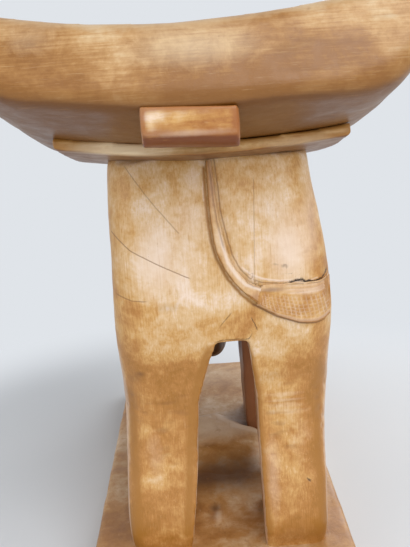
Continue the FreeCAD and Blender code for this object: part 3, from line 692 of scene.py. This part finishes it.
class STOOL_OT_tusks(bpy.types.Operator):
    """Two tusks"""

    bl_idname = "stool.tusks"
    bl_label = "Tusks"

    def execute(self, context):
        step = 0.9 * MM
        # rubbed bright, so paler than the body
        wood = waxed_wood("polished_tusk_wood", (0.9, 18.0, 0.9), golden="#c79a64",
                          honey="#dcb98c", light="#e3c8a2", pale="#ecd9bb")
        for node in ("tusk_left", "tusk_right"):
            tusk = carved("carved_" + node, step, 3, merged_copy(node))
            raised(tusk.data, waves(points_of(tusk.data), 8, 31) * 0.15)
            mark_wear(tusk.data, step, 2)
            finish_piece(tusk, wood, node)
        return {"FINISHED"}


# Where the ribs of an ear run together, (y, z) in mm
EAR_ROOT = (152.0, 290.0)


class STOOL_OT_ears(bpy.types.Operator):
    """Two flat ears with soft ribs"""

    bl_idname = "stool.ears"
    bl_label = "Ears"

    def execute(self, context):
        step = context.scene.stool_shape.small_step
        wood = waxed_wood("waxed_ear_wood", (1.3, 1.3, 30.0))
        mirror = Matrix.Translation((2 * BODY_X * MM, 0, 0)) @ Matrix.Scale(-1, 4, (1, 0, 0))
        for node, side in (("ear_left", -1), ("ear_right", 1)):
            # a second copy, set inwards, thickens the ear where the shoulder cuts it thin
            shapes = [merged_copy("ear_left"), merged_copy("ear_left")]
            bmesh.ops.translate(shapes[1], vec=(4 * MM, 0, 0), verts=shapes[1].verts)
            # the right ear is the left one mirrored, whole where the flank swells through it
            for shape in shapes if side > 0 else ():
                bmesh.ops.transform(shape, matrix=mirror, verts=shape.verts)
                bmesh.ops.reverse_faces(shape, faces=shape.faces)
            ear = carved("carved_" + node, step, 4, *shapes)
            mesh = ear.data
            points = points_of(mesh)
            flat = points[:, 1:] - np.array(EAR_ROOT)
            angle = np.arctan2(flat[:, 1], -flat[:, 0])
            away = np.linalg.norm(flat, axis=1)
            ribs = np.cos(angle * 9 + waves(points, 40, 41) * 0.8)
            rise = ribs * 0.8 * ease(away, 20, 50) * ease(-away, -110, -80)
            rise += waves(points, 18, 42) * 0.3
            # the outer side stands clear of the shoulder
            rise += 2.0 * ease(side * normals_of(mesh)[:, 0], 0.2, 0.6)
            raised(mesh, rise)
            mark_wear(mesh, step, 3)
            finish_piece(ear, wood, node)
        return {"FINISHED"}


# Right and left edges of the tail, (x, z) in mm
TAIL_RIGHT = ((9.6, 362), (11.1, 345), (11.8, 330), (13.3, 316), (16.1, 301), (19.6, 286),
              (25.8, 275.7), (31, 269.4), (41, 265.2))
TAIL_LEFT = ((4.1, 362), (4.1, 331), (4.6, 316), (5.8, 301), (7.3, 292.5), (12.6, 279),
             (19.5, 267.4), (26.8, 258.6), (36.4, 249.6))


class STOOL_OT_tail(bpy.types.Operator):
    """Tail in low relief and its scored tuft"""

    bl_idname = "stool.tail"
    bl_label = "Tail"

    def execute(self, context):
        settings = context.scene.stool_shape
        step = settings.fine_step
        wood = waxed_wood("waxed_tail_wood", (1.0, 1.0, 14.0))
        skin = carved("tail_skin", step, 5, merged_copy("tail"), merged_copy("tail_tuft"))
        mesh = skin.data
        points = points_of(mesh)
        x, _, z = points.T
        _, from_right = near_line(points[:, ::2], TAIL_RIGHT)
        _, from_left = near_line(points[:, ::2], TAIL_LEFT)
        # distance past the slanting line where the tail ends and its tuft begins
        foot, head = np.array(TAIL_LEFT[-1]), np.array(TAIL_RIGHT[-1])
        way = (head - foot) / np.linalg.norm(head - foot)
        past = (x - foot[0]) * way[1] - (z - foot[1]) * way[0]
        end = ease(past, -18, -2)
        tuft = ease(past, -0.5, 0.5)
        facing = ease(-normals_of(mesh)[:, 1], 0.2, 0.6)

        # the tail has a bevel on its left, a ridge near its right edge and a thin cut beside it
        bevel = (1 - ease(from_left, 0.0, 3.2)) * (1 - tuft)
        slope = (1 - ease(from_right, 0.0, 2.6)) * (1 - end)
        cut = np.exp(-((from_right - 3.0) / 0.7) ** 2) * ease(z, 288, 300)
        tail_rise = -1.9 * bevel * (1 - 0.5 * end) - 1.5 * slope - 1.0 * cut - 2.2 * end
        joined = ease(past, -16, -1)
        # the tuft's rim stands out, its upper part and its tip run level with the haunch
        low = np.interp(x, (36, 51, 68, 82, 96), (249.6, 239.8, 233.3, 231.8, 234.5))
        high = np.interp(x, (36, 41, 70, 96), (264.5, 265.2, 265.5, 266.0))
        share = np.clip((z - low) / (high - low), 0, 1)
        sunk = 1.2 * ease(share, 0.3, 1.0) + 0.8 * ease(x, 74, 88)
        pitch = settings.tuft_score / MM
        widening = 0.04
        spacing = pitch + widening * np.maximum(x - 38, 0)
        rows = share * 11 + 0.3 * waves(points, 9, 52)
        columns = np.log(spacing / pitch) / widening + 0.07 * z + 0.25 * waves(points, 10, 53)
        scored = ease(past, 0.5, 3) * ease(share, 0.1, 0.16) * ease(-share, -0.72, -0.6)
        straws = 0.8 * ease(past, 10, 22) * ease(share, 0.66, 0.72)
        cuts = np.maximum(score(rows) * (0.7 * scored + straws), score(columns) * scored)
        brim = 1 - ease(z - low, 0.0, 3.0)
        tuft_rise = -facing * (sunk + cuts * 0.5 + 0.9 * brim * (1 - ease(x, 42, 62)))
        rise = (waves(points, 10, 51) * 0.25
                + np.where(past < 0, tail_rise + joined * tuft_rise, tuft_rise))
        points = raised(mesh, rise)
        # the tip of the tuft is pressed into the haunch
        points += np.array((-1.5, 0.2, 0.0)) * ease(x, 86, 95)[:, None]
        move_points(mesh, points)
        joining = np.exp(-(past / 4.0) ** 2) * ease(from_left, 1.0, 3.0) * ease(from_right, 1.0, 3.0)
        rubbed(mesh, joining * facing, 50)

        ridge = np.exp(-((from_right - 3.4) / 1.1) ** 2) * ease(-z, -315, -295) * (1 - tuft)
        rim = ease(share, 0.0, 0.05) * ease(-share, -0.16, -0.08)
        mark_wear(mesh, step, 1.2)
        # the left bevel is painted amber and golden as shade, and the tuft's lowest rows are darkened
        # as painted shade
        wax = np.where(past < 0, 0.2 + 0.9 * bevel + 0.6 * ease(z, 320, 345),
                       0.3 + 0.15 * scored + 0.6 * (1 - ease(share, 0.05, 0.12)))
        stain = np.where(past < 0, 0.4 * (1 - ease(from_right, 0.0, 1.0)) * (1 - end),
                         0.6 * (1 - ease(share, 0.0, 0.05)) * ease(-x, -84, -76))
        worn = np.where(past < 0, 0.9 * ridge + 0.3 * (1 - bevel),
                        0.4 * rim + 0.3 * ease(share, 0.66, 0.8))
        keep_values(
            mesh, edge=1.5 * bevel * ease(-z, -335, -305), hollow=0.6 * cut * (1 - end),
            cut=cuts * facing * (0.75 + 0.45 * waves(points, 14, 55)),
            wax=wax + painted(points, ((33, -190, 256), (7, 20, 5), 0.7)),
            stain=stain + painted(points, ((48, -190, 261), (12, 30, 2.6), 0.8)),
            worn=worn + painted(points, ((76, -190, 257), (16, 30, 3), 0.4)))
        end_place, end_way = (foot[0] * MM, 0, foot[1] * MM), (way[1], 0, -way[0])
        for name, node, above in (("carved_tail", "tail", False), ("carved_tuft", "tail_tuft", True)):
            shape = sliced(skin, end_place, end_way, above)
            bmesh.ops.holes_fill(shape, edges=[e for e in shape.edges if e.is_boundary], sides=0)
            bmesh.ops.triangulate(shape, faces=[f for f in shape.faces if len(f.verts) > 4])
            finish_piece(object_from(name, shape), wood, node)
        bpy.data.objects.remove(skin)
        return {"FINISHED"}


def score(turns):
    """1 in the middle of narrow cuts one turn apart, 0 between them."""
    near = np.abs((turns + 0.5) % 1 - 0.5)
    half_width = 0.24
    return np.clip(1 - near / half_width, 0, 1)


# Height of the axis that the seat is bent about, in mm
SEAT_AXIS = 1198.0


class STOOL_OT_seat(bpy.types.Operator):
    """Curved, dished seat"""

    bl_idname = "stool.seat"
    bl_label = "Seat"

    def execute(self, context):
        step = context.scene.stool_shape.seat_step
        seat = carved("carved_seat", step, 4, merged_copy("seat"))
        mesh = seat.data
        # the lower edges of both ends are carved round, most at their corners
        x, y, z = points_of(mesh).T
        below = ease(np.abs(y), 235, 262) * ease(-normals_of(mesh)[:, 2], 0.0, 0.35)
        sharp = spread(mesh, np.clip(bulge_of(mesh), 0, 0.4) * below, 14)
        corner = 0.6 + 0.4 * ease(np.abs(x), 60, 125)
        rubbed(mesh, np.clip(sharp / 0.04, 0, 1) * corner, 40)
        # the carver's hand: the rear end climbs to the right and its underside to the left
        points = points_of(mesh)
        x, y, z = points.T
        # 0 on the top and 1 on the underside
        deep = ease(np.hypot(y, SEAT_AXIS - z), 812, 845)
        z += (1 - deep) * (1.2 + 0.017 * x) * ease(-y, 180, 270)
        z += deep * 0.034 * np.maximum(-x, 0) * ease(-y, 90, 190)
        z -= deep * 3 * ease(x, 40, 100) * ease(-y, 222, 262)
        move_points(mesh, points)
        raised(mesh, uneven(points_of(mesh), 61, (90, 0.9), (26, 0.35), (10, 0.12)))
        mark_wear(mesh, step, 6)
        points = points_of(mesh)
        x, y, z = points.T
        up = normals_of(mesh)[:, 2]
        low = ease(np.hypot(y, SEAT_AXIS - z), 808, 846)
        # painted shade on faces that look down, lighter to the right, and stains on the end
        stain = (1 - 0.35 * ease(x, 50, 110)) * ease(-up, 0.4, 0.85) + 0.1 * low
        stain += painted(points, ((-6, -285, 405), (120, 30, 7), 0.3), *rear(
            -285, 20, (-88, 437, 5, 1.2, 0.8), (0, 424, 7, 1.4, 0.6), (50, 424, 12, 6, 0.4),
            (62, 430, 12, 4, 0.35), (-118, 440, 26, 8, 0.3), (96, 452, 26, 3, 0.4),
            (84, 428, 30, 2.4, 0.5), (112, 440, 26, 2, 0.5), (70, 415, 36, 2, 0.35),
            (28, 445, 26, 2, 0.3), (-60, 448, 40, 1.8, 0.35), (66, 447, 1.5, 1.5, 0.8)))
        wax = 0.36 + 0.6 * low - 0.2 * ease(up, 0.5, 0.9) + 0.2 * ease(-x, 60, 130)
        wax += painted(points, *rear(-280, 30, (-4, 412, 150, 12, 0.2), (-110, 432, 40, 16, 0.35)))
        worn = 0.3 * ease(up, 0.3, 0.9) + painted(points, *rear(
            -275, 20, (0, 430, 46, 14, 0.6), (100, 455, 22, 16, 0.3), (-90, 440, 24, 12, 0.3)))
        keep_values(mesh, stain=stain, wax=wax, worn=worn)
        # fibres run along the board, browner underneath, partly as painted shade, and rubbed dull on
        # top
        wood = waxed_wood("waxed_seat_wood", (26.0, 26.0, 1.2), streak=0.45, pale="#dfc9a6",
                          light="#ccad82", honey="#b98f5b", golden="#a0713a", amber="#8a5a24",
                          brown="#6e410f")
        finish_piece(seat, wood, "seat")
        return {"FINISHED"}


class STOOL_OT_ledge(bpy.types.Operator):
    """Thin ledge under the seat"""

    bl_idname = "stool.ledge"
    bl_label = "Ledge"

    def execute(self, context):
        step = 1.9 * MM
        ledge = carved("carved_ledge", step, 3, merged_copy("seat_ledge"))
        mesh = ledge.data
        points = points_of(mesh)
        x, y, z = points.T
        z += 0.042 * np.maximum(-x, 0)
        # a crevice opens on both sides of the lug
        z -= 1.8 * ease(z, 372, 378) * painted(points, *rear(
            -204, 30, (-41, 380, 7, 12, 1.0), (30, 378, 12, 12, 0.7)))
        move_points(mesh, points)
        raised(mesh, uneven(points, 71, (45, 0.7), (14, 0.25)))
        mark_wear(mesh, step, 3)
        points = points_of(mesh)
        # painted shade on the underside; less wax and a pale patch paint light on the lit top at the
        # left
        keep_values(mesh, hollow=np.zeros(len(points)),
                    stain=0.9 * ease(-normals_of(mesh)[:, 2], 0.3, 0.8),
                    wax=0.2 - painted(points, ((-60, -204, 370), (50, 12, 14), 0.7)),
                    worn=painted(points, *rear(-204, 12, (-50, 370, 40, 10, 1.0),
                                               (70, 368, 34, 5, 0.5))))
        # paler tones, partly painted light on its lit top
        wood = waxed_wood("waxed_ledge_wood", (22.0, 22.0, 1.6), streak=0.5, pale="#f0d6ae",
                          light="#deb880", brown="#6b3c1c")
        finish_piece(ledge, wood, "seat_ledge")
        return {"FINISHED"}


class STOOL_OT_lugs(bpy.types.Operator):
    """Lugs under the ends of the seat"""

    bl_idname = "stool.lugs"
    bl_label = "Lugs"

    def execute(self, context):
        step = 1.2 * MM
        wood = waxed_wood("waxed_lug_wood", (16.0, 16.0, 2.0), streak=0.4, amber="#985a26",
                          brown="#6e350f")
        for node in ("lug_rear", "lug_front"):
            lug = carved("carved_" + node, step, 9, merged_copy(node))
            mesh = lug.data
            points = points_of(mesh)
            x, y, z = points.T
            # the crown of the lug laps the rounded end of the seat
            z += 1.5 * ease(np.abs(y), 262, 280) * ease(z, 388, 396)
            # the chamfer under its outer face is short and steep
            z -= 4.2 * ease(np.abs(y), 262, 276) * np.exp(-((z - 383) / 6) ** 2)
            if node == "lug_rear":
                z -= 0.045 * (x + 4)
            move_points(mesh, points)
            points = raised(mesh, uneven(points, 81, (22, 0.5), (7, 0.15)))
            mark_wear(mesh, step, 2.4)
            down = ease(-normals_of(mesh)[:, 2], 0.2, 0.6)
            # painted shade on the chamfer that faces down, in stain and wax, and a pale painted sheen
            # along its crease and top edge
            keep_values(
                mesh, stain=1.1 * down,
                wax=0.25 + 0.8 * down + painted(points, *rear(
                    -285, 10, (-4, 389, 40, 3, 0.5), (22, 388, 8, 10, 0.4))),
                worn=painted(points, *rear(-285, 10, (-4, 384, 30, 2.6, 0.45),
                                           (-4, 395, 30, 3, 0.2))))
            finish_piece(lug, wood, node)
        return {"FINISHED"}


# Crest of the rise of ground, (x, y) in mm, and the height of the plinth's top
RIDGE = ((-60, 62), (-15.6, 41), (1.5, 41), (22.4, 13.5), (48, -4), (70, -10))
BASE_TOP = 35.0


class STOOL_OT_plinth(bpy.types.Operator):
    """Plinth and the rise of ground between the feet"""

    bl_idname = "stool.plinth"
    bl_label = "Plinth"

    def execute(self, context):
        step = 2.4 * MM
        plinth = carved("carved_plinth", step, 3, merged_copy("base_plinth"))
        mesh = plinth.data
        points = points_of(mesh)
        rise = uneven(points, 91, (48, 0.8), (17, 0.4)) * ease(points[:, 2], 2, 8)
        # a chipped knot between the hind feet
        rise += ease(normals_of(mesh)[:, 2], 0.6, 0.9) * painted(
            points, ((-5, -118, BASE_TOP), (6, 9, 30), -2.4), ((-3, -132, BASE_TOP), (5, 12, 30), 1.6),
            ((-12, -128, BASE_TOP), (4, 14, 30), -1.0))
        points = raised(mesh, rise)
        points[:, 2] = np.maximum(points[:, 2], 0)
        move_points(mesh, points)
        mark_wear(mesh, step, 5)
        self.mark_ground(mesh)
        # scuffed and dull, with little wax left
        wood = waxed_wood("worn_plinth_wood", (9.0, 20.0, 3.0), depth=1.8, pale="#d8c1a5",
                          light="#c4a27a", honey="#b3844e", golden="#a06f3a", amber="#8e5f2e",
                          brown="#573720")
        finish_piece(plinth, wood, "base_plinth")

        step = 1.6 * MM
        mound = carved("carved_mound", step, 0, merged_copy("ground_mound"))
        points = points_of(mound.data)
        x, y, z = points.T
        _, away = near_line(points[:, :2], RIDGE)
        beyond = (y - 43) + (x + 16) * 0.75 > 0
        inside = 1 - np.hypot((x - 4) / 62, (y + 6) / 75)
        height = np.where(beyond, 1 - 0.8 * ease(away, 2, 26), 1 - ease(away, 0, 92))
        height = (14.5 + 2.5 * ease(-x, -14, 4)) * height * ease(inside, 0.0, 0.4)
        height += uneven(points, 95, (26, 1.2), (9, 0.4)) * ease(height, 0.5, 5)
        # its skin dives under the top of the plinth all round
        under = BASE_TOP - 1.8
        z[:] = np.where(z > BASE_TOP + 0.6, BASE_TOP - 0.8 + height, under)
        z[:] = np.clip(z, under, 52)
        move_points(mound.data, points)
        settled(mound, ("SMOOTH", {"iterations": 4, "factor": 0.5}))
        mark_wear(mound.data, step, 3)
        self.mark_ground(mound.data)
        finish_piece(mound, wood, "ground_mound")
        return {"FINISHED"}

    # The marks depend on the place alone, so that they run on from plinth to mound
    def mark_ground(self, mesh):
        points = points_of(mesh)
        level = points * np.array((1, 1, 0))
        _, away = near_line(points[:, :2], RIDGE)

        # spots given as x, y, reach along X and Y, and strength
        def on_ground(*spots):
            return painted(level, *[((x, y, 0), (wide, long, 9), strength)
                                    for x, y, wide, long, strength in spots])

        none = np.zeros(len(points))
        # painted light and shade on the ground: the body's shadow between the feet, shade beside the
        # right foreleg, behind the crest and on the left of the plinth, a highlight along the crest and
        # light on its near slope and far part; besides these, the dark pit and pale chip of the knot
        keep_values(
            mesh, edge=none, hollow=none,
            wax=0.2 + on_ground((0, -160, 60, 40, 0.35), (20, -26, 50, 20, 0.25),
                                (-95, -150, 26, 120, 0.6), (98, -150, 26, 90, 0.45)),
            stain=on_ground((-12, -64, 50, 36, 1.0), (34, -64, 32, 36, 0.6), (40, -116, 16, 30, 0.3),
                            (34, 34, 26, 20, 0.8), (30, 66, 50, 26, 0.4),
                            (-95, -150, 24, 120, 0.25), (-5, -117, 6, 8, 0.8)),
            worn=0.7 * np.exp(-(away / 4) ** 2) + on_ground(
                (-8, 42, 24, 14, 1.2), (-12, 22, 26, 22, 0.6), (14, 4, 60, 24, 0.7),
                (-3, -131, 4, 12, 0.9), (95, -150, 22, 90, 0.15), (0, 190, 120, 60, 0.4)))


# Light Path gives 1 to what the camera sees, by itself or in a gloss
def seen_directly(tree):
    seen = add_node(tree, "LightPath", output=0)
    glossy = add_node(tree, "LightPath", output=3)
    return add_node(tree, "Math", {"operation": "MAXIMUM"}, {0: seen, 1: glossy})


class STOOL_OT_stage(bpy.types.Operator):
    """Pale floor, soft lamps and the camera"""

    bl_idname = "stool.stage"
    bl_label = "Studio"

    def execute(self, context):
        scene = context.scene
        studio = scene.stool_studio
        disc = bmesh.new()
        bmesh.ops.create_circle(disc, cap_ends=True, segments=96, radius=studio.floor_radius)
        floor = object_from("studio_floor", disc)
        floor.data.materials.append(self.floor_material(studio))
        self.light_world(scene, studio)
        # each lamp's place and width in m
        for name, place, size, power in (
                ("key_lamp", (0.8, -1.9, 1.5), 1.6, studio.key_power),
                ("fill_lamp", (-1.7, -1.2, 0.9), 1.2, studio.fill_power),
                ("back_lamp", (1.1, 1.6, 1.2), 1.4, studio.back_power)):
            lamp = bpy.data.lights.new(name, "AREA")
            lamp.energy = power
            lamp.size = size
            shining = bpy.data.objects.new(name, lamp)
            shining.location = place
            aim = Vector((0, 0, 0.22)) - shining.location
            shining.rotation_euler = aim.to_track_quat("-Z", "Y").to_euler()
            scene.collection.objects.link(shining)
        # the photograph's viewpoint, close behind the stool at seat height
        camera = bpy.data.objects.new("camera", bpy.data.cameras.new("camera"))
        camera.data.sensor_fit = "VERTICAL"
        camera.data.sensor_height = 36.0
        camera.data.lens = 46.07
        camera.data.clip_start = 0.01
        camera.location = (-0.003, -0.684, 0.409)
        camera.rotation_euler = [math.radians(turn) for turn in (75.0, 3.662, -1.268)]
        scene.collection.objects.link(camera)
        scene.camera = camera
        scene.view_settings.view_transform = "Standard"
        return {"FINISHED"}

    # Matt painted board that fades into the backdrop, as a paper sweep does
    def floor_material(self, studio):
        material = new_material("studio_paper")
        tree = material.node_tree
        place = add_node(tree, "TexCoord", output=3)
        away = add_node(tree, "VectorMath", {"operation": "LENGTH"}, {0: place}, output=1)
        fade = add_node(tree, "MapRange", {"interpolation_type": "SMOOTHSTEP"},
                        {"Value": away, "From Min": 0.34, "From Max": 0.56})
        # the paper lies in soft shade to the left of the stool
        aside = add_node(tree, "VectorMath", {"operation": "DISTANCE"},
                         {0: place, 1: (-0.27, 0.14, 0.0)}, output=1)
        shade = add_node(tree, "MapRange", {"interpolation_type": "SMOOTHSTEP"},
                         {"Value": aside, "From Min": 0.34, "From Max": 0.1})
        tone = add_node(tree, "Mix", {"data_type": "RGBA"},
                        {0: shade, 6: tuple(studio.floor), 7: srgb("#c3c6c9")}, output=2)
        paper = add_node(tree, "BsdfPrincipled", None,
                         {"Base Color": tone, "Roughness": 0.85})
        glow = add_node(tree, "Emission", None,
                        {"Color": tuple(studio.backdrop), "Strength": 1.0})
        fade = add_node(tree, "Math", {"operation": "MULTIPLY"}, {0: fade, 1: seen_directly(tree)})
        both = add_node(tree, "MixShader", None, {0: fade, 1: paper, 2: glow})
        add_node(tree, "OutputMaterial", None, {"Surface": both})
        return material

    def light_world(self, scene, studio):
        world = bpy.data.worlds.new("studio")
        world.use_nodes = True
        scene.world = world
        tree = world.node_tree
        tree.nodes.clear()
        soft = add_node(tree, "Background", None,
                        {"Color": srgb("#eef1f5"), "Strength": 0.72})
        shown = add_node(tree, "Background", None,
                         {"Color": tuple(studio.backdrop), "Strength": 1.0})
        both = add_node(tree, "MixShader", None, {0: seen_directly(tree), 1: soft, 2: shown})
        add_node(tree, "OutputWorld", None, {"Surface": both})


BUILDERS = (STOOL_OT_stage, STOOL_OT_plinth, STOOL_OT_elephant, STOOL_OT_head, STOOL_OT_trunk,
            STOOL_OT_tusks, STOOL_OT_ears, STOOL_OT_tail, STOOL_OT_seat, STOOL_OT_ledge,
            STOOL_OT_lugs)
GROUPS = {"stool_wood": StoolWood, "stool_shape": StoolShape, "stool_studio": StoolStudio}


class STOOL_PT_panel(bpy.types.Panel):
    """Buttons that build the stool"""

    bl_idname = "STOOL_PT_panel"
    bl_label = "Stool"
    bl_space_type = "VIEW_3D"
    bl_region_type = "UI"
    bl_category = "Stool"

    def draw(self, context):
        for group in GROUPS:
            settings = getattr(context.scene, group)
            for name in type(settings).__annotations__:
                self.layout.prop(settings, name)
        for builder in BUILDERS:
            self.layout.operator(builder.bl_idname)


CLASSES = (*GROUPS.values(), *BUILDERS, STOOL_PT_panel)


def register():
    for kind in CLASSES:
        bpy.utils.register_class(kind)
    for name, kind in GROUPS.items():
        setattr(bpy.types.Scene, name, bpy.props.PointerProperty(type=kind))


def unregister():
    for name in GROUPS:
        delattr(bpy.types.Scene, name)
    for kind in reversed(CLASSES):
        bpy.utils.unregister_class(kind)


def main():
    register()
    for builder in BUILDERS:
        getattr(bpy.ops.stool, builder.bl_idname.split(".")[1])()


if __name__ == "__main__":
    main()
